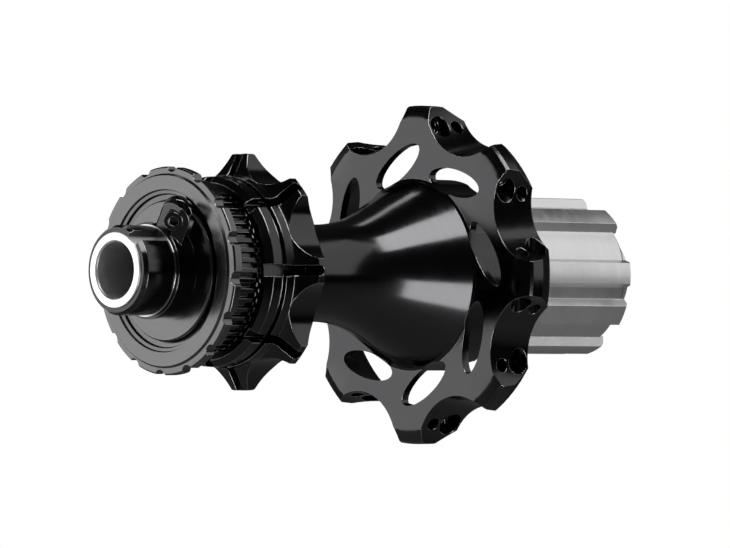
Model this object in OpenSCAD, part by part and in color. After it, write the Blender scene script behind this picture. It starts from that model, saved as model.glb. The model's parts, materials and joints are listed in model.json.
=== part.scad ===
// Rear bicycle hub with a centre-lock disc mount, a thru-axle, straight-pull
// spoke seats and a three-pawl freehub.
// Frame: the wheel turns about Y, +Z is up, +X is forward. The drive side is at -Y
// and the disc side at +Y. The origin is on the spin axis, midway between the end faces.
// Stations run along the axle from the disc-side end face (0) to the drive-side one.
// Angles run from the top of the hub towards -X.

/* [Overall] */
// Width between the two end faces
hub_w = 142; // [138:1:148]
// Diameter of the thru-axle bore
thru_d = 12; // [10:0.5:12]

/* [Axle and end caps] */
// Outer diameter of the axle tube, which the bearings slide on
axle_d = 17; // [17:1:17]
// Outer diameter of both end caps
cap_d = 19; // [18:0.5:20]
// Width of the lengthwise slot in the disc-side cap sleeve
sleeve_slot_w = 3.2; // [1:0.1:4]

/* [Preload collar] */
// Outer diameter of the preload collar
collar_d = 20; // [19:0.5:21]
// Angle of the pinch ear from the top of the hub
ear_angle = 30; // [0:5:90]
// Distance of the pinch ear's centre from the axis
ear_r = 13.2; // [12.5:0.1:13.5]

/* [Rotor mount] */
// Diameter of the rotor lockring over its teeth
lockring_d = 44; // [42:0.5:45]
// Number of tool notches in the lockring
lockring_notches = 16; // [12:2:16]
// Diameter of the rotor spline over its ribs
rotor_spline_d = 34.6; // [34:0.1:35]
// Number of ribs on the rotor spline
rotor_ribs = 50; // [40:1:52]

/* [Flanges] */
// Number of lobes on each flange
lobes = 8; // [8:1:8]
// Tip diameter of the disc-side flange
disc_flange_d = 50.4; // [48:0.2:52]
// Tip diameter of the drive-side flange
drive_flange_d = 73.6; // [70:0.2:76]
// Distance of the tangential spoke holes from the axis
spoke_r = 32.26; // [32:0.01:32.5]
// Diameter of the spoke holes
spoke_hole_d = 2.6; // [2.2:0.1:2.8]
// Diameter of the seat that takes a spoke head
spoke_seat_d = 4.4; // [4:0.2:4.6]
// Length of the lightening holes in the drive flange
window_l = 16; // [12:0.5:16]
// Width of the lightening holes in the drive flange
window_w = 5.8; // [4:0.2:7]

/* [Body] */
// Diameter of the neck, the thinnest stretch of the body
neck_d = 20.9; // [20.6:0.1:22]
// Diameter of the drum where its straight cone starts
drum_start_d = 30.2; // [29.8:0.2:31]
// Diameter of the drum at the drive flange
drum_end_d = 41; // [40.5:0.5:42]

/* [Freehub] */
// Diameter over the ridges of the cassette spline
cassette_d = 34.8; // [34:0.1:35]
// Number of ridges on the cassette spline
ridges = 9; // [9:1:9]
// Number of teeth in the ratchet ring
ratchet_teeth = 24; // [24:12:36]
// Number of pawls
pawls = 3; // [3:1:3]

/* [Bearings] */
// Number of balls in each main bearing
main_balls = 13; // [10:1:14]
// Number of balls in each freehub bearing
freehub_balls = 18; // [14:1:20]

/* [Hidden] */

$fn = 96;
gap = 0.05;                 // radial clearance of a running fit
drive_turn = 2;             // turn of the drive flange's lobes from the disc flange's
lobe_pitch = 360 / lobes;

axle_r = axle_d / 2;
axle_bore_r = 7;
axle_shoulder_r = 8.95;
thru_r = thru_d / 2;
cap_r = cap_d / 2;

// Stations along the axle
s_sleeve_0 = 0.4;
s_washer = 8.5;
s_axle_0 = 9;
s_cover = 14;
s_lockring = 13.5;
s_lockring_back = 16.5;
s_shell_0 = 16.6;
s_spline_1 = 25.5;
s_ring_1 = 29;
s_groove_1 = 30.2;
s_disc_face = 35;
s_disc_back = 39.6;
s_neck_0 = 50;
s_neck_1 = 56;
s_drum_0 = 74;
s_drum_1 = 80.4;
s_drive_face = 84.4;
s_row_a = 87;
s_row_b = 91;
s_web_back = 86.3;
s_flange_back = 93.5;
s_drive_back = 95;
s_freehub = 98;
s_freehub_1 = 135.4;
s_axle_1 = 133;

// Bearings
main_ball_r = 1.98;
main_pitch_r = 11.5;
main_cone_r = 10.2;
main_cup_in_r = 12.8;
main_seat_r = 14.5;
main_w = 7;
thread_r = 15.6;            // thread of the rotor lockring
s_disc_bearing = 30;
s_drive_bearing = 79.2;
small_ball_r = 1.19;
small_pitch_r = 10.75;
small_inner_r = 9.9;
small_outer_in_r = 11.6;
small_seat_r = 13;
small_w = 5;
s_small_1 = 100.5;
s_small_2 = 130.5;
spacer_r = 10;

// Ratchet
ratchet_tip_r = 16.3;
ratchet_root_r = 17.4;
ratchet_seat_r = 18.8;
ratchet_flank = 12;         // angle of the driving flank ahead of each pawl's pocket
carrier_r = 15.9;
s_carrier = 85.2;
s_pawl_0 = 87;
pawl_w = 5;
pawl_pivot = [-2.2, 13.9, 0];
pawl_fold = 10;             // turn of a pawl from the ratchet's teeth to clear of them
pawl_pivot_r = 1.35;
spring_r = 15.35;
spring_wire_r = 0.35;
s_spring = s_pawl_0 + pawl_w / 2;

// Lays the axle out along Y, disc side at +Y
module along_axle() rotate([90, 0, 0]) children();

// Moves to a station along the axle
module at(s) translate([0, 0, s - hub_w / 2]) children();

// A turned piece: its outline is a list of [radius, station]
module turned(outline) at(0) rotate_extrude() polygon(outline);

// A plain ring between two stations
module ring(s_0, s_1, r_out, r_in) turned([[r_in, s_0], [r_out, s_0], [r_out, s_1], [r_in, s_1]]);

// Copies its children at equal angles, n of them
module around(n, first = 0) for (i = [0 : n - 1]) rotate([0, 0, first + i * 360 / n]) children();

// ---- Axle unit ----

module axle() color("silver") along_axle()
    turned([[axle_bore_r, s_axle_0], [axle_r, s_axle_0],
            [axle_r, s_disc_bearing + main_w / 2], [axle_shoulder_r, s_disc_bearing + main_w / 2],
            [axle_shoulder_r, s_drive_bearing - main_w / 2], [axle_r, s_drive_bearing - main_w / 2],
            [axle_r, s_axle_1], [axle_bore_r, s_axle_1]]);

module disc_end_cap() color("white") along_axle()
    turned([[thru_r + 0.3, 0], [8 - 0.15, 0], [8, 0.15], [8, s_axle_0], [axle_bore_r, s_axle_0],
            [axle_bore_r, s_axle_0 + 10], [thru_r, s_axle_0 + 10], [thru_r, 0.3]]);

module disc_cap_sleeve() color([0.08, 0.08, 0.09]) along_axle() difference() {
    turned([[8, s_sleeve_0], [cap_r - 0.6, s_sleeve_0], [cap_r, s_sleeve_0 + 0.9],
            [cap_r, s_washer], [8, s_washer]]);
    at(0) rotate([0, 0, 40]) translate([-sleeve_slot_w / 2, 0, 0]) cube([sleeve_slot_w, cap_d, s_axle_0]);
}

module thrust_washer() color("silver") along_axle() ring(s_washer, s_axle_0, cap_r + 0.25, 8);

module disc_dust_cover() color([0.12, 0.12, 0.13]) along_axle()
    turned([[axle_r, s_cover], [14.55, s_cover], [14.85, s_cover + 0.3], [14.85, s_cover + 1],
            [main_cone_r, s_cover + 1], [main_cone_r, 22], [axle_r, 22]]);

// Inner race of a main bearing, from s_0 to s_1, with its groove at s
module cone(s_0, s_1, s) along_axle() difference() {
    ring(s_0, s_1, main_cone_r, axle_r);
    at(s) rotate_extrude() translate([main_pitch_r, 0]) circle(r = main_ball_r + gap, $fn = 48);
}

module disc_cone() color("gray") cone(22, s_disc_bearing + main_w / 2, s_disc_bearing);

module drive_cone() color("gray")
    cone(s_drive_bearing - main_w / 2, s_drive_bearing + main_w / 2, s_drive_bearing);

module drive_spacer() color("silver") along_axle()
    ring(s_drive_bearing + main_w / 2, s_small_1 - small_w / 2, spacer_r, axle_r);

// Inner race of a freehub bearing
module inner_race(s) along_axle() difference() {
    ring(s - small_w / 2, s + small_w / 2, small_inner_r, axle_r);
    at(s) rotate_extrude() translate([small_pitch_r, 0]) circle(r = small_ball_r + gap, $fn = 48);
}

module inner_race_1() color("gray") inner_race(s_small_1);

module inner_race_2() color("gray") inner_race(s_small_2);

module freehub_spacer() color("silver") along_axle()
    ring(s_small_1 + small_w / 2, s_small_2 - small_w / 2, spacer_r, axle_r);

module drive_end_cap() color("silver") along_axle()
    turned([[thru_r, s_axle_1 - 12], [axle_bore_r, s_axle_1 - 12], [axle_bore_r, s_axle_1],
            [cap_r - 0.4, s_axle_1], [cap_r - 0.4, s_freehub_1], [cap_r, s_freehub_1],
            [cap_r, hub_w - 0.7], [cap_r - 0.7, hub_w], [thru_r + 0.4, hub_w],
            [thru_r, hub_w - 0.4]]);

// ---- Preload collar ----

// Puts its children on the pinch screw's axis, which leans outward by 45 degrees
module on_screw() at(11.2) rotate([0, 0, ear_angle]) translate([0, ear_r, 0]) rotate([0, -135, 0]) children();

module preload_collar() color([0.07, 0.07, 0.08]) along_axle() difference() {
    union() {
        turned([[axle_r, s_axle_0 + gap], [collar_d / 2 + 0.25, s_axle_0 + gap],
                [collar_d / 2 + 0.25, s_axle_0 + 1.2], [collar_d / 2, s_axle_0 + 1.5],
                [collar_d / 2, s_cover - gap], [axle_r, s_cover - gap]]);
        intersection() {
            ring(s_axle_0 + gap, s_cover - gap, ear_r + 3.6, axle_r);
            union() {
                on_screw() translate([0, 0, -3.5]) cylinder(h = 7, r = 3.3);
                on_screw() translate([-3.3, -4.6, -3.5]) cube([6.6, 4.6, 7]);
            }
        }
    }
    ring(s_axle_0, s_cover, axle_r + gap, 1);
    on_screw() translate([0, 0, -8]) cylinder(h = 16, r = 1.3);
    on_screw() translate([0, 0, 1.4]) cylinder(h = 6, r = 2.15);
    on_screw() translate([-8, -8, -0.9]) cube([16, 14, 0.9]);
}

module pinch_screw() color([0.2, 0.2, 0.2]) along_axle() on_screw() difference() {
    union() {
        translate([0, 0, 1.4]) cylinder(h = 2.2, r = 2);
        translate([0, 0, -2.2]) cylinder(h = 3.6, r = 1.25);
    }
    translate([0, 0, 2.4]) cylinder(h = 2, r = 1.15, $fn = 6);
}

// ---- Shell and what turns with it ----

// Curve of the body from the disc flange down to the neck, as [radius, station]
function shoulder_curve(n) = [for (i = [0 : n]) let (a = 90 * i / n)
    [neck_d / 2 + 10.5 * (1 - sin(a)), s_disc_back + (s_neck_0 - s_disc_back) * (1 - cos(a))]];

// Curve of the body from the neck up to the drum
function flare_curve(n) = [for (i = [0 : n]) let (t = i / n)
    [neck_d / 2 + (drum_start_d - neck_d) / 2 * t * t,
     s_neck_1 + (s_drum_0 - s_neck_1) * t]];

// Outline of a star-shaped spline: n ribs between two radii, each filling part of its pitch
function rib_points(n, r_low, r_high, fill) = [for (i = [0 : n - 1]) let (p = 360 / n)
    for (c = [[r_low, -0.5], [r_low, -fill / 2 - 0.05], [r_high, -fill / 2 + 0.05],
              [r_high, fill / 2 - 0.05], [r_low, fill / 2 + 0.05]])
        c[0] * [cos(p * (i + c[1])), sin(p * (i + c[1]))]];

// Outline of a lightening hole
function oval_points(l, w, n) = [for (i = [0 : n - 1]) let (a = 360 * i / n)
    [l / 2 * cos(a), w / 2 * sin(a)]];

// Everything outside, before the cuts
module shell_blank() {
    drum_end_r = drum_end_d / 2;
    disc_tip_r = disc_flange_d / 2;
    drive_tip_r = drive_flange_d / 2;
    turned(concat(
        [[thread_r, s_shell_0], [16.5, s_shell_0], [16.5, s_spline_1], [18.9, s_spline_1],
         [20.2, s_spline_1 + 1.3], [20.3, s_ring_1], [19.2, s_ring_1], [19.2, s_groove_1],
         [20.4, s_groove_1], [20.6, s_disc_face - 2.8], [21.2, s_disc_face - 2.1],
         [disc_tip_r, s_disc_face], [disc_tip_r, s_disc_face + 1.6],
         [disc_tip_r - 0.3, s_disc_face + 2], [22.6, s_disc_back - 1.2]],
        shoulder_curve(8), flare_curve(10),
        [[drum_end_r - 2.05, s_drum_1], [drum_end_r - 0.8, s_drum_1 + 2.3],
         [drum_end_r - 0.2, s_drive_face - 0.5], [drum_end_r + 0.4, s_drive_face],
         [drive_tip_r - 3.4, s_drive_face],
         [drive_tip_r - 0.4, s_drive_face + 1.2], [drive_tip_r, s_drive_face + 1.8],
         [drive_tip_r, s_flange_back - 4.5], [drive_tip_r - 2.6, s_flange_back],
         [30, s_flange_back], [28, s_web_back], [20.8, s_web_back], [20.8, s_drive_back],
         [ratchet_seat_r, s_drive_back], [ratchet_seat_r, s_carrier - 0.6],
         [12.5, s_carrier - 0.6], [12.5, s_drive_bearing + main_w / 2 + 1],
         [main_seat_r, s_drive_bearing + main_w / 2 + 1],
         [main_seat_r, s_drive_bearing - main_w / 2], [9.35, s_drive_bearing - main_w / 2],
         [9.35, s_disc_bearing + main_w / 2], [main_seat_r, s_disc_bearing + main_w / 2],
         [main_seat_r, 25], [thread_r, 25]]));
    at(s_shell_0) linear_extrude(height = s_spline_1 - s_shell_0 + 0.5) difference() {
        polygon(rib_points(rotor_ribs, 16.4, rotor_spline_d / 2, 0.5));
        circle(r = 16);
    }
}

// Hollow between two lobes of the disc flange
module disc_valley() at(s_groove_1 + 0.5) translate([0, 29.66, 0]) cylinder(h = 12, r = 9.06);

// Channel and seat for one radial spoke of the disc side
module disc_spoke_slot() {
    s_spoke = s_disc_face + 0.4;
    at(s_spline_1 - 0.5) translate([-1.3, 18.3, 0]) cube([2.6, 4, s_groove_1 - s_spline_1 + 1.5]);
    at(s_disc_face - 5) translate([-1.1, 18.3, 0]) cube([2.2, 9, 5.4]);
    at(s_spoke) translate([0, 18.3, 0]) rotate([-90, 0, 0]) cylinder(h = 9, r = 1.1);
    at(s_spoke) translate([0, 18.3, 0]) rotate([-90, 0, 0]) cylinder(h = 1.9, r = 1.9);
}

// Hollow between two lobes of the drive flange
module drive_valley() at(s_drive_face) translate([0, 42, 0]) rotate([-14, 0, 0])
    translate([0, 0, -4]) cylinder(h = 20, r = 12.7);

// Hole and head seat of one tangential spoke; side is 1 or -1
module drive_spoke(s, side) at(s) translate([0, spoke_r, 0]) rotate([0, 90, 0]) {
    translate([0, 0, -10]) cylinder(h = 20, r = spoke_hole_d / 2);
    translate([0, 0, side > 0 ? -10 : 2.6]) cylinder(h = 7.4, r = spoke_seat_d / 2);
}

// Lightening hole of the drive flange
module window() at(s_drive_face - 3) rotate([0, 0, -10]) translate([0, 24, 0]) rotate([0, 0, -22])
    linear_extrude(height = 18) polygon(oval_points(window_l, window_w, 28));

module hub_shell() color([0.1, 0.1, 0.11]) along_axle() difference() {
    shell_blank();
    around(lobes, lobe_pitch / 2) disc_valley();
    around(lobes) disc_spoke_slot();
    around(lobes, lobe_pitch / 2 + drive_turn) drive_valley();
    around(lobes, drive_turn) drive_spoke(s_row_a, 1);
    around(lobes, drive_turn) drive_spoke(s_row_b, -1);
    around(lobes) window();
}

// Outer race of a main bearing
module cup(s) along_axle() difference() {
    ring(s - main_w / 2, s + main_w / 2, main_seat_r, main_cup_in_r);
    at(s) rotate_extrude() translate([main_pitch_r, 0]) circle(r = main_ball_r + gap, $fn = 48);
}

module disc_cup() color("gray") cup(s_disc_bearing);

module drive_cup() color("gray") cup(s_drive_bearing);

module disc_seal() color("black") along_axle() ring(25.2, 26.3, main_seat_r, main_cone_r + 0.3);

module ratchet_ring() color("gray") along_axle() difference() {
    ring(s_carrier - 0.6, s_drive_back, ratchet_seat_r, 10);
    at(s_carrier - 2) rotate([0, 0, -ratchet_flank]) linear_extrude(height = 14)
        polygon([for (i = [0 : ratchet_teeth - 1]) let (p = 360 / ratchet_teeth)
            for (c = [[ratchet_root_r, 0.02], [ratchet_tip_r, 0.98]])
                c[0] * [sin(-p * (i + c[1])), cos(p * (i + c[1]))]]);
}

module rotor_lockring() color([0.3, 0.3, 0.31]) along_axle() difference() {
    turned([[15, s_lockring + 1.6], [16.1, s_lockring + 1.3], [16.3, s_lockring + 0.7],
            [17, s_lockring + 0.5], [17.2, s_lockring], [20.1, s_lockring],
            [20.5, s_lockring + 0.5], [21.7, s_lockring + 0.7], [22, s_lockring + 1],
            [lockring_d / 2, s_lockring_back - 0.3], [lockring_d / 2 - 0.3, s_lockring_back],
            [thread_r, s_lockring_back], [thread_r, s_lockring_back + 7], [15, s_lockring_back + 7]]);
    around(lockring_notches, 5) at(s_lockring - 1) translate([0, lockring_d / 2 + 0.5, 0])
        cylinder(h = 6, r = 1.6, $fn = 32);
}

// Balls of one bearing
module ball_ring(n, pitch_r, r, s) along_axle() at(s) around(n) translate([0, pitch_r, 0]) sphere(r = r);

// Cage of one main bearing
module ball_cage(s) along_axle() difference() {
    ring(s - 2.3, s + 2.3, main_pitch_r + 0.75, main_pitch_r - 0.75);
    at(s) around(main_balls) rotate([-90, 0, 0]) cylinder(h = main_cup_in_r, r = main_ball_r + 0.1, $fn = 32);
}

module disc_bearing_balls() color("white") ball_ring(main_balls, main_pitch_r, main_ball_r, s_disc_bearing);

module disc_ball_cage() color("khaki") ball_cage(s_disc_bearing);

module drive_bearing_balls() color("white") ball_ring(main_balls, main_pitch_r, main_ball_r, s_drive_bearing);

module drive_ball_cage() color("khaki") ball_cage(s_drive_bearing);

// ---- Freehub ----

// A wedge of the given angle, centred on the top
module wedge(s_0, s_1, angle) at(s_0) linear_extrude(height = s_1 - s_0)
    polygon([[0, 0], 25 * [sin(angle / 2), cos(angle / 2)], 25 * [-sin(angle / 2), cos(angle / 2)]]);

// Angle of one ridge of the cassette spline: the one at the front is off the even pitch
function ridge_turn(i) = i * 360 / ridges + (i == 2 ? 8 : 0);

// One ridge of the cassette spline, narrower at its top
module ridge_side() at(s_freehub) linear_extrude(height = s_freehub_1 - s_freehub)
    polygon([[-3.1, 15], [-2.1, 18], [2.1, 18], [3.1, 15]]);

// Pocket of one pawl in the carrier
module pawl_pocket() at(s_pawl_0 - 0.2) {
    translate([pawl_pivot[0], pawl_pivot[1], 0]) cylinder(h = pawl_w + 0.4, r = pawl_pivot_r + gap);
    translate([pawl_pivot[0], 12.55, 0]) cube([6.6, 6, pawl_w + 0.4]);
    translate([pawl_pivot[0] - 0.9, pawl_pivot[1], 0]) cube([3, 6, pawl_w + 0.4]);
}

module freehub_body() color([0.8, 0.8, 0.8]) along_axle() difference() {
    union() {
        turned([[10.8, s_carrier], [carrier_r - 0.4, s_carrier], [carrier_r, s_carrier + 0.4],
                [carrier_r, s_freehub], [17.7, s_freehub], [17.7, s_freehub + 1.4],
                [15.5, s_freehub + 1.4], [15.5, s_freehub_1 - 1.4], [14.4, s_freehub_1],
                [small_seat_r, s_freehub_1], [small_seat_r, s_small_2 - small_w / 2],
                [11.8, s_small_2 - small_w / 2], [11.8, s_small_1 + small_w / 2],
                [small_seat_r, s_small_1 + small_w / 2], [small_seat_r, s_small_1 - small_w / 2],
                [10.8, s_small_1 - small_w / 2]]);
        intersection() {
            turned([[15.2, s_freehub + 1], [cassette_d / 2, s_freehub + 1],
                    [cassette_d / 2, s_freehub_1 - 1.1], [cassette_d / 2 - 0.7, s_freehub_1 - 0.5],
                    [15.2, s_freehub_1 - 0.5]]);
            for (i = [0 : ridges - 1]) rotate([0, 0, ridge_turn(i)]) ridge_side();
        }
    }
    around(pawls) pawl_pocket();
    ring(s_spring - 0.5, s_spring + 0.5, carrier_r + 1, spring_r - 0.45);
    ring(s_small_2 + small_w / 2 + 0.1, s_small_2 + small_w / 2 + 1, small_seat_r + 0.7, small_seat_r - 1);
}

// Outer race of a freehub bearing
module outer_race(s) along_axle() difference() {
    ring(s - small_w / 2, s + small_w / 2, small_seat_r, small_outer_in_r);
    at(s) rotate_extrude() translate([small_pitch_r, 0]) circle(r = small_ball_r + gap, $fn = 48);
}

module outer_race_1() color("gray") outer_race(s_small_1);

module outer_race_2() color("gray") outer_race(s_small_2);

module freehub_seal() color("black") along_axle() ring(s_drive_back + 0.5, s_freehub, 18.2, carrier_r);

module snap_ring() color("dimgray") along_axle() difference() {
    ring(s_small_2 + small_w / 2 + 0.15, s_small_2 + small_w / 2 + 0.95, small_seat_r + 0.6, small_seat_r - 1);
    at(s_small_2 + small_w / 2) translate([-2, 10, 0]) cube([4, 6, 3]);
}

module end_seal() color("black") along_axle()
    ring(s_small_2 + small_w / 2 + 1, s_freehub_1 - 0.4, small_seat_r, cap_r + 0.3);

module pawl_spring() color("silver") along_axle() difference() {
    at(s_spring) rotate_extrude() translate([spring_r, 0]) circle(r = spring_wire_r, $fn = 24);
    rotate([0, 0, 60]) wedge(s_spring - 2, s_spring + 2, 14);
}

module freehub_balls_1() color("white") ball_ring(freehub_balls, small_pitch_r, small_ball_r, s_small_1);

module freehub_balls_2() color("white") ball_ring(freehub_balls, small_pitch_r, small_ball_r, s_small_2);

// One pawl, pressed in to let the ratchet ring pass
module pawl(i) along_axle() rotate([0, 0, i * 360 / pawls])
    translate(pawl_pivot) rotate([0, 0, -pawl_fold]) translate(-pawl_pivot) difference() {
        at(s_pawl_0) union() {
            translate(pawl_pivot) cylinder(h = pawl_w, r = pawl_pivot_r);
            linear_extrude(height = pawl_w)
                polygon([[-2.2, 15.2], [3.1, 16.6], [3.4, 15.9], [2.6, 15.1], [-1.5, 12.9], [-2.2, 13.2]]);
        }
        ring(s_spring - 0.55, s_spring + 0.55, 18, spring_r - 0.42);
    }

module pawl_1() color("dimgray") pawl(0);

module pawl_2() color("dimgray") pawl(1);

module pawl_3() color("dimgray") pawl(2);

axle();
disc_end_cap();
disc_cap_sleeve();
thrust_washer();
disc_dust_cover();
disc_cone();
drive_cone();
drive_spacer();
inner_race_1();
freehub_spacer();
inner_race_2();
drive_end_cap();
preload_collar();
pinch_screw();
hub_shell();
disc_cup();
drive_cup();
disc_seal();
ratchet_ring();
rotor_lockring();
disc_bearing_balls();
disc_ball_cage();
drive_bearing_balls();
drive_ball_cage();
freehub_body();
outer_race_1();
outer_race_2();
freehub_seal();
snap_ring();
end_seal();
pawl_spring();
freehub_balls_1();
freehub_balls_2();
pawl_1();
pawl_2();
pawl_3();
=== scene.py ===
import json
import math
import bpy
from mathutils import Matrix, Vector

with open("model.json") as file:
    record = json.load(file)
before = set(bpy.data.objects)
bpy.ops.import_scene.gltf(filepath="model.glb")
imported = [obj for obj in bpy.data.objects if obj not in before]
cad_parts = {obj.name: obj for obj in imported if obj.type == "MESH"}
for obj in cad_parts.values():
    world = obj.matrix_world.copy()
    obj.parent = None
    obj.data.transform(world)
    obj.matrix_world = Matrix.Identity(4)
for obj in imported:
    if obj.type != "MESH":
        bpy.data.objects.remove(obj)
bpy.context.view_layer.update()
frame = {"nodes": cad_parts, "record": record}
nodes = frame["nodes"]

# The row frame: the axle lies along Y with the disc side at +Y, and +Z is up.
# Lengths are in metres.
MM = 0.001


def direction(azimuth, elevation):
    """Unit vector from the hub towards a viewer at that azimuth and elevation, in degrees."""
    a, e = math.radians(azimuth), math.radians(elevation)
    return Vector((math.sin(a) * math.cos(e), -math.cos(a) * math.cos(e), math.sin(e)))


def aim(obj):
    """Turns a camera or a light to look at the middle of the hub."""
    obj.rotation_euler = (-obj.location).to_track_quat("-Z", "Y").to_euler()


# ---------------------------------------------------------------- camera

CAMERA_AZIMUTH = 227.6
CAMERA_ELEVATION = -1.0
CAMERA_DISTANCE = 1.554
CAMERA_CLIP_END = 50
# lens and sensor are in millimetres
CAMERA_LENS = 354.9
CAMERA_SENSOR = 36


def make_camera():
    data = bpy.data.cameras.new("camera")
    data.lens = CAMERA_LENS
    data.sensor_width = CAMERA_SENSOR
    data.clip_end = CAMERA_CLIP_END
    camera = bpy.data.objects.new("camera", data)
    camera.location = direction(CAMERA_AZIMUTH, CAMERA_ELEVATION) * CAMERA_DISTANCE
    aim(camera)
    bpy.context.scene.collection.objects.link(camera)
    bpy.context.scene.camera = camera


make_camera()

# ---------------------------------------------------------------- stage and light

FLOOR_DROP = 0.4
FLOOR_HALF = 3.0
FLOOR_COLOUR = (0.22, 0.22, 0.22, 1)
FLOOR_ROUGHNESS = 0.9
ROOM_STRENGTH = 0.025
BACKDROP_STRENGTH = 1.0
WHITE = (1, 1, 1, 1)


def make_floor():
    mesh = bpy.data.meshes.new("floor")
    corners = [(-FLOOR_HALF, -FLOOR_HALF), (FLOOR_HALF, -FLOOR_HALF),
               (FLOOR_HALF, FLOOR_HALF), (-FLOOR_HALF, FLOOR_HALF)]
    mesh.from_pydata([(x, y, -FLOOR_DROP) for x, y in corners], [], [(0, 1, 2, 3)])
    floor = bpy.data.objects.new("floor", mesh)
    bpy.context.scene.collection.objects.link(floor)
    material = bpy.data.materials.new("floor_pale")
    material.use_nodes = True
    tree = material.node_tree
    shader = tree.nodes["Principled BSDF"]
    shader.inputs["Base Color"].default_value = FLOOR_COLOUR
    shader.inputs["Roughness"].default_value = FLOOR_ROUGHNESS
    # white like the backdrop when it is seen, a plain grey floor to everything else
    white = tree.nodes.new("ShaderNodeEmission")
    path = tree.nodes.new("ShaderNodeLightPath")
    mix = tree.nodes.new("ShaderNodeMixShader")
    tree.links.new(path.outputs["Is Camera Ray"], mix.inputs["Fac"])
    tree.links.new(shader.outputs[0], mix.inputs[1])
    tree.links.new(white.outputs[0], mix.inputs[2])
    tree.links.new(mix.outputs[0], tree.nodes["Material Output"].inputs["Surface"])
    mesh.materials.append(material)


def background(tree, strength):
    """A plain white background of that strength, as a node of the world's tree."""
    node = tree.nodes.new("ShaderNodeBackground")
    node.inputs["Color"].default_value = WHITE
    node.inputs["Strength"].default_value = strength
    return node


def make_world():
    """White behind the object, and a dim grey room for everything that it reflects."""
    world = bpy.data.worlds.new("studio")
    world.use_nodes = True
    bpy.context.scene.world = world
    tree = world.node_tree
    tree.nodes.clear()
    path = tree.nodes.new("ShaderNodeLightPath")
    room = background(tree, ROOM_STRENGTH)
    backdrop = background(tree, BACKDROP_STRENGTH)
    mix = tree.nodes.new("ShaderNodeMixShader")
    out = tree.nodes.new("ShaderNodeOutputWorld")
    tree.links.new(path.outputs["Is Camera Ray"], mix.inputs["Fac"])
    tree.links.new(room.outputs[0], mix.inputs[1])
    tree.links.new(backdrop.outputs[0], mix.inputs[2])
    tree.links.new(mix.outputs[0], out.inputs["Surface"])


def soft_box(name, towards, distance, width, height, radiance):
    """A rectangular light in the given direction from the hub, as bright as it looks."""
    data = bpy.data.lights.new(name, "AREA")
    data.shape = "RECTANGLE"
    data.size = width
    data.size_y = height
    data.energy = radiance * math.pi * width * height
    light = bpy.data.objects.new(name, data)
    light.location = Vector(towards).normalized() * distance
    bpy.context.scene.collection.objects.link(light)
    aim(light)


def make_lights():
    # the panel that the faces turned to the disc side mirror
    soft_box("disc_side_panel", towards=(0.74, 0.67, 0.05), distance=0.9,
             width=0.9, height=0.8, radiance=1.7)
    # the wall beyond the drive side, which the freehub mirrors
    soft_box("drive_side_panel", towards=(-0.55, -0.70, 0.46), distance=1.1,
             width=0.8, height=1.25, radiance=0.9)
    # the soft box over the drum
    soft_box("top_box", towards=(-0.52, 0.12, 0.85), distance=0.8,
             width=0.62, height=0.46, radiance=6.5)
    # the soft box low on the viewer's right
    soft_box("low_box", towards=(-0.86, 0.23, -0.40), distance=0.6,
             width=0.26, height=0.30, radiance=6.0)
    # a strip behind the hub, for the upper edges
    soft_box("rim_strip", towards=(0.45, -0.2, 0.87), distance=0.9,
             width=0.5, height=0.12, radiance=2.5)
    # a dim wall on the far side
    soft_box("far_wall", towards=(0.95, -0.30, 0.10), distance=1.2,
             width=0.9, height=0.9, radiance=0.6)


bpy.context.scene.view_settings.view_transform = "Standard"
make_floor()
make_world()
make_lights()

# ---------------------------------------------------------------- materials

# every edge is rounded by this much in the shading
EDGE_RADIUS = 0.16 * MM
EDGE_SAMPLES = 6
# cosine of the angle between the rounded and the flat normal, off an edge and on it
EDGE_OFF, EDGE_ON = 0.995, 0.9

# noise runs from 0 to 1, and these are the ends of the stretch that is used
NOISE_LOW, NOISE_HIGH = 0.3, 0.7

# turning marks: fine rings, and coarser strokes that vary more on the way round
RING_VARIATION = 0.6
STROKE_VARIATION = 7.0
STROKE_COARSENESS = 3
STROKE_HEIGHT = 0.5
STROKE_ROUGHNESS = 0.15
RING_SHADE = 0.04
MARK_DEPTH = 0.0012 * MM
FINE_MARK_DEPTH = 0.0004 * MM
# the marks divide by the radius, so it is kept above this
LEAST_RADIUS = 0.1 * MM

# clouds of handling and wear, which also vary the painted edge highlight, in patches to the metre
CLOUD_SCALE = 70
CLOUD_LOW, CLOUD_HIGH = 0.35, 0.65
CLOUD_ROUGHNESS = (-0.02, 0.03)
# how far the clouds let the lighter edges through; these edges are edge wear and a painted highlight
# along the edges
WEAR_AND_SHEEN_HIGH = 0.6
WEAR_AND_SHEEN_RANGE = (0.5, 1.0)

# moulded grain: how much the colour and the roughness vary, and how deep it is
TINT_SPREAD = 0.2
GRAIN_ROUGHNESS = 0.15
GRAIN_DEPTH = 0.03 * MM
GRAIN_STRENGTH = 0.5
BROAD_GRAIN = 20


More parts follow.
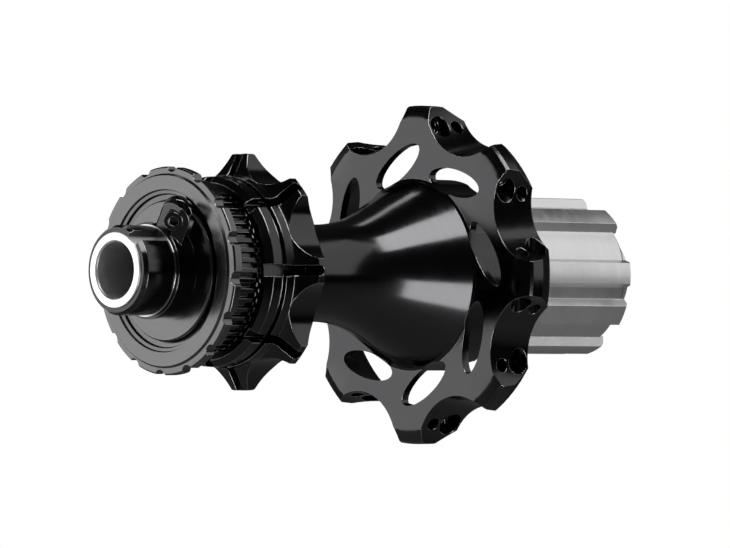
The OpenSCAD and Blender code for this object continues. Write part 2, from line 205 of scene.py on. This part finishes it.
class Tree:
    """Short calls for building one material's nodes."""

    def __init__(self, name):
        self.material = bpy.data.materials.new(name)
        self.material.use_nodes = True
        self.nodes = self.material.node_tree.nodes
        self.links = self.material.node_tree.links
        self.shader = self.nodes["Principled BSDF"]

    def feed(self, socket, value):
        """Links an output to a socket, or sets the socket to a value."""
        if isinstance(value, bpy.types.NodeSocket):
            self.links.new(value, socket)
        else:
            socket.default_value = value

    def put(self, name, value):
        """Feeds one of the shader's own sockets."""
        self.feed(self.shader.inputs[name], value)

    def math(self, operation, *values):
        node = self.nodes.new("ShaderNodeMath")
        node.operation = operation
        for socket, value in zip(node.inputs, values):
            self.feed(socket, value)
        return node.outputs[0]

    def vector(self, *values):
        node = self.nodes.new("ShaderNodeCombineXYZ")
        for socket, value in zip(node.inputs, values):
            self.feed(socket, value)
        return node.outputs[0]

    def point(self):
        """A point of the object, in metres."""
        return self.nodes.new("ShaderNodeTexCoord").outputs["Object"]

    def axes(self, point):
        """The point's x, y and z, each on its own."""
        split = self.nodes.new("ShaderNodeSeparateXYZ")
        self.links.new(point, split.inputs[0])
        return split.outputs

    def radius(self, axes):
        """Distance of a point from the spin axis."""
        x2 = self.math("MULTIPLY", axes["X"], axes["X"])
        z2 = self.math("MULTIPLY", axes["Z"], axes["Z"])
        return self.math("SQRT", self.math("ADD", x2, z2))

    def noise(self, vector, scale, detail, roughness, w=None):
        """Noise at a point, with w as a fourth coordinate if it is given."""
        node = self.nodes.new("ShaderNodeTexNoise")
        if w is not None:
            node.noise_dimensions = "4D"
            self.links.new(w, node.inputs["W"])
        node.inputs["Scale"].default_value = scale
        node.inputs["Detail"].default_value = detail
        node.inputs["Roughness"].default_value = roughness
        self.links.new(vector, node.inputs["Vector"])
        return node.outputs["Fac"]

    def turning_marks(self, axes, radius, scale, variation):
        """Streaks that run round the axle: fine across, long round the circumference."""
        around = [self.math("MULTIPLY", self.math("DIVIDE", axes[key], radius), variation / scale)
                  for key in ("X", "Z")]
        place = self.vector(*around, axes["Y"])
        return self.noise(place, scale, detail=3.0, roughness=0.65, w=radius)

    def span(self, value, low, high, to_low, to_high):
        """Maps a value from one range to another, clamped."""
        node = self.nodes.new("ShaderNodeMapRange")
        self.links.new(value, node.inputs["Value"])
        names = ("From Min", "From Max", "To Min", "To Max")
        for key, number in zip(names, (low, high, to_low, to_high)):
            node.inputs[key].default_value = number
        return node.outputs["Result"]

    def blend(self, factor, a, b):
        """Mixes two colours, each the output of a node or three numbers."""
        node = self.nodes.new("ShaderNodeMix")
        node.data_type = "RGBA"
        self.links.new(factor, node.inputs["Factor"])
        # the colour sockets of this node share their names with others, so they go by number
        for i, colour in ((6, a), (7, b)):
            is_output = isinstance(colour, bpy.types.NodeSocket)
            self.feed(node.inputs[i], colour if is_output else (*colour, 1))
        return node.outputs[2]

    def rounded_normal(self):
        """The normal, as if every edge were rounded."""
        bevel = self.nodes.new("ShaderNodeBevel")
        bevel.samples = EDGE_SAMPLES
        bevel.inputs["Radius"].default_value = EDGE_RADIUS
        return bevel.outputs[0]

    def edge_mask(self, normal):
        """1 on the edges and 0 off them, from how far the rounded normal turns."""
        geometry = self.nodes.new("ShaderNodeNewGeometry")
        dot = self.nodes.new("ShaderNodeVectorMath")
        dot.operation = "DOT_PRODUCT"
        self.links.new(normal, dot.inputs[0])
        self.links.new(geometry.outputs["Normal"], dot.inputs[1])
        return self.span(dot.outputs["Value"], EDGE_OFF, EDGE_ON, 0, 1)

    def bump(self, height, distance, normal, strength=1.0):
        """A height on top of the given normal, as the shader's normal."""
        node = self.nodes.new("ShaderNodeBump")
        node.inputs["Strength"].default_value = strength
        node.inputs["Distance"].default_value = distance
        self.links.new(height, node.inputs["Height"])
        self.links.new(normal, node.inputs["Normal"])
        self.links.new(node.outputs[0], self.shader.inputs["Normal"])


def scaled(colour, factor):
    """The colour made darker or lighter, no brighter than white."""
    return [min(1, c * factor) for c in colour]


def turned_metal(name, colour, edge_wear_and_sheen_grey, roughness, lines, depth=MARK_DEPTH):
    """A lathe-turned metal: fine rings about the axle, cloudy roughness, and lighter edges that are
    partly wear and partly a painted edge highlight.
    """
    t = Tree(name)
    point = t.point()
    axes = t.axes(point)
    radius = t.math("MAXIMUM", t.radius(axes), LEAST_RADIUS)
    rings = t.turning_marks(axes, radius, lines, RING_VARIATION)
    strokes = t.turning_marks(axes, radius, lines / STROKE_COARSENESS, STROKE_VARIATION)
    clouds = t.noise(point, CLOUD_SCALE, detail=3.0, roughness=0.55)
    normal = t.rounded_normal()

    stroke_part = t.span(strokes, NOISE_LOW, NOISE_HIGH, roughness * (1 - STROKE_ROUGHNESS),
                         roughness * (1 + STROKE_ROUGHNESS))
    cloud_part = t.span(clouds, CLOUD_LOW, CLOUD_HIGH, *CLOUD_ROUGHNESS)
    t.put("Roughness", t.math("ADD", stroke_part, cloud_part))

    shade = t.blend(t.span(rings, NOISE_LOW, NOISE_HIGH, 0, 1), scaled(colour, 1 - RING_SHADE),
                    scaled(colour, 1 + RING_SHADE))
    # lighter edges in the base colour: edge wear, and a painted highlight along the edges
    wear_and_sheen_amount = t.span(clouds, CLOUD_LOW, WEAR_AND_SHEEN_HIGH, *WEAR_AND_SHEEN_RANGE)
    t.put("Base Color", t.blend(t.math("MULTIPLY", t.edge_mask(normal), wear_and_sheen_amount), shade, [edge_wear_and_sheen_grey] * 3))
    t.put("Metallic", 1.0)

    height = t.math("ADD", rings, t.math("MULTIPLY", strokes, STROKE_HEIGHT))
    t.bump(height, depth, normal)
    return t.material


def moulded(name, colour, roughness, grain):
    """Rubber or plastic with a fine moulded grain."""
    t = Tree(name)
    point = t.point()
    fine = t.noise(point, grain, detail=2.0, roughness=0.6)
    broad = t.noise(point, grain / BROAD_GRAIN, detail=2.0, roughness=0.5)
    t.put("Base Color", t.blend(broad, scaled(colour, 1 - TINT_SPREAD), scaled(colour, 1 + TINT_SPREAD)))
    t.put("Roughness", t.span(fine, NOISE_LOW, NOISE_HIGH, roughness * (1 - GRAIN_ROUGHNESS),
                              roughness * (1 + GRAIN_ROUGHNESS)))
    t.bump(fine, GRAIN_DEPTH, t.rounded_normal(), GRAIN_STRENGTH)
    return t.material


# lines is the scale of the finest rings, and grain that of the finest grain, both to the metre
# the edge grey is the colour of the lighter edges, which are wear and a painted edge highlight
METALS = {
    "black_anodised": dict(colour=(0.058, 0.058, 0.06), edge_wear_and_sheen_grey=0.55, roughness=0.15, lines=3600),
    "grey_anodised": dict(colour=(0.135, 0.135, 0.137), edge_wear_and_sheen_grey=0.5, roughness=0.2, lines=3600),
    "bright_cap": dict(colour=(0.97, 0.97, 0.97), edge_wear_and_sheen_grey=1, roughness=0.38, lines=3600),
    "silver_axle": dict(colour=(0.62, 0.62, 0.63), edge_wear_and_sheen_grey=0.8, roughness=0.35, lines=3200),
    "freehub_alloy": dict(colour=(0.74, 0.74, 0.75), edge_wear_and_sheen_grey=0.97, roughness=0.36, lines=3000,
                          depth=FINE_MARK_DEPTH),
    "bearing_steel": dict(colour=(0.6, 0.6, 0.61), edge_wear_and_sheen_grey=0.8, roughness=0.14, lines=3600),
    "steel": dict(colour=(0.42, 0.42, 0.43), edge_wear_and_sheen_grey=0.7, roughness=0.3, lines=3000),
    "black_steel": dict(colour=(0.05, 0.05, 0.052), edge_wear_and_sheen_grey=0.4, roughness=0.2, lines=3000),
}
MOULDED = {
    "rubber": dict(colour=(0.02, 0.02, 0.02), roughness=0.6, grain=3000),
    "cage_plastic": dict(colour=(0.5, 0.42, 0.28), roughness=0.5, grain=2500),
}
MATERIALS = {name: turned_metal(name, **look) for name, look in METALS.items()}
MATERIALS.update({name: moulded(name, **look) for name, look in MOULDED.items()})

# ---------------------------------------------------------------- smooth surfaces

# edges sharper than this, in degrees, stay sharp
SHARP_ANGLE = 24
# points closer than this become one
WELD = 0.002 * MM


def smoothing_tree():
    """Welds the seams between faces and shades smooth all but the edges sharper than SHARP_ANGLE."""
    tree = bpy.data.node_groups.new("smooth_by_edge_angle", "GeometryNodeTree")
    tree.interface.new_socket("Geometry", in_out="INPUT", socket_type="NodeSocketGeometry")
    tree.interface.new_socket("Geometry", in_out="OUTPUT", socket_type="NodeSocketGeometry")
    start = tree.nodes.new("NodeGroupInput")
    end = tree.nodes.new("NodeGroupOutput")
    weld = tree.nodes.new("GeometryNodeMergeByDistance")
    weld.inputs["Distance"].default_value = WELD
    faces = tree.nodes.new("GeometryNodeSetShadeSmooth")
    faces.domain = "FACE"
    faces.inputs["Shade Smooth"].default_value = True
    edges = tree.nodes.new("GeometryNodeSetShadeSmooth")
    edges.domain = "EDGE"
    edges.inputs["Shade Smooth"].default_value = False
    angle = tree.nodes.new("GeometryNodeInputMeshEdgeAngle")
    sharp = tree.nodes.new("FunctionNodeCompare")
    sharp.data_type = "FLOAT"
    sharp.operation = "GREATER_THAN"
    sharp.inputs["B"].default_value = math.radians(SHARP_ANGLE)
    tree.links.new(start.outputs[0], weld.inputs["Geometry"])
    tree.links.new(weld.outputs[0], faces.inputs["Geometry"])
    tree.links.new(faces.outputs[0], edges.inputs["Geometry"])
    tree.links.new(angle.outputs["Unsigned Angle"], sharp.inputs["A"])
    tree.links.new(sharp.outputs["Result"], edges.inputs["Selection"])
    tree.links.new(edges.outputs[0], end.inputs[0])
    return tree


smoothing = smoothing_tree()
for part in frame["record"]["subparts"]:
    obj = nodes[part["node"]]
    obj.data.materials.clear()
    obj.data.materials.append(MATERIALS[part["material_slot"]])
    obj.modifiers.new("smooth", "NODES").node_group = smoothing
